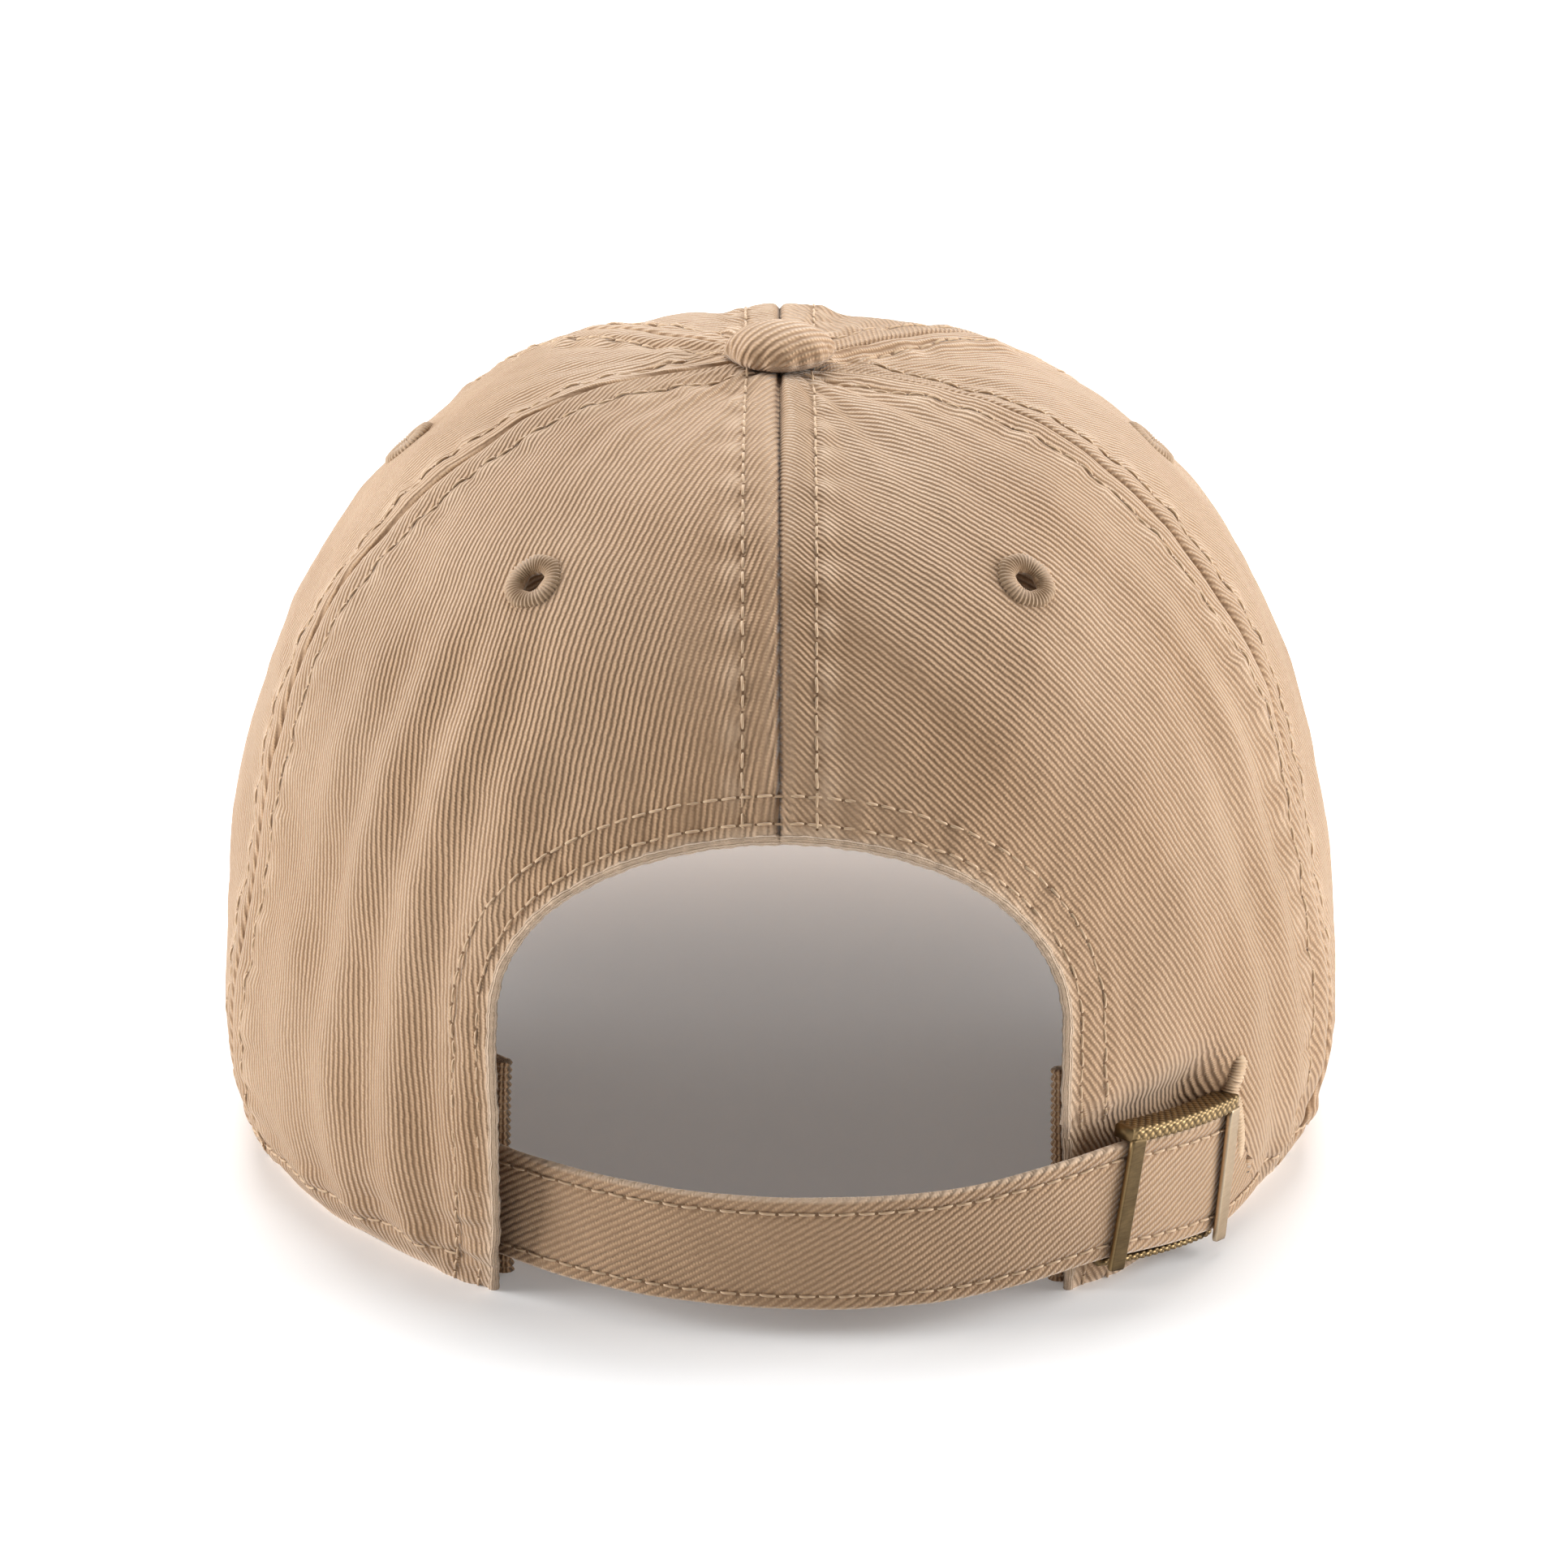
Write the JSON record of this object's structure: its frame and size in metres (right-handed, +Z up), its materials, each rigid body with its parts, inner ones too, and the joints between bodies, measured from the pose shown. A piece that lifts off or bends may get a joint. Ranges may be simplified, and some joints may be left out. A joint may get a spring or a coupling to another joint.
{
  "type": "baseball cap",
  "caption": "Soft unstructured cap of stitched twill panels with a curved visor, a half-moon back opening and a self-fabric strap in a brass slide buckle.",
  "frame": {"origin": "middle of the cap's outline box, at the height it stands on", "axes": "+Y to the front (visor), +X the wearer's right, +Z up to the button"},
  "size_m": [0.173, 0.2656, 0.1253],
  "materials": {
    "twill_shell": "washed cotton twill",
    "antique_brass": "antique, brushed",
    "plated_steel": "zinc plated",
    "eyelet_thread": "satin-stitched thread",
    "seam_tape": "woven cotton tape",
    "foam_core": "soft non-woven core",
    "sweatband_twill": "cotton twill",
    "visor_board": "semi-rigid sheet"
  },
  "bodies": {
    "crown": {"buckle_centre_bar": "antique_brass", "buckle_keeper_loop": "twill_shell", "button_cover": "twill_shell", "button_rivet": "plated_steel", "button_shell": "plated_steel", "button_washer": "plated_steel", "eyelet_back_left": "eyelet_thread", "eyelet_back_right": "eyelet_thread", "eyelet_front_left": "eyelet_thread", "eyelet_front_right": "eyelet_thread", "eyelet_side_left": "eyelet_thread", "eyelet_side_right": "eyelet_thread", "opening_facing": "twill_shell", "panel_back_left": "twill_shell", "panel_back_right": "twill_shell", "panel_front_left": "twill_shell", "panel_front_right": "twill_shell", "panel_side_left": "twill_shell", "panel_side_right": "twill_shell", "seam_tape_centre_back": "seam_tape", "seam_tape_centre_front": "seam_tape", "seam_tape_left_back": "seam_tape", "seam_tape_left_front": "seam_tape", "seam_tape_right_back": "seam_tape", "seam_tape_right_front": "seam_tape", "sweatband_core": "foam_core", "sweatband_inner_cover": "sweatband_twill", "sweatband_outer_cover": "sweatband_twill", "visor_board": "visor_board", "visor_top_cover": "twill_shell", "visor_under_cover": "twill_shell"},
    "strap": {"adjuster_strap": "twill_shell"},
    "buckle": {"buckle_frame": "antique_brass"}
  },
  "joints": [
    {"name": "strap_adjust", "type": "hinge", "parent": "crown", "child": "strap", "pos_m": [0.0066, -0.06405, 0], "axis": [0, 0, 1], "range_deg": [-2, 7.5]},
    {"name": "buckle_rock", "type": "hinge", "parent": "crown", "child": "buckle", "pos_m": [0.05738, -0.10606, 0.0118], "axis": [0, 0, 1], "range_deg": [-1.5, 1.5]}
  ]
}
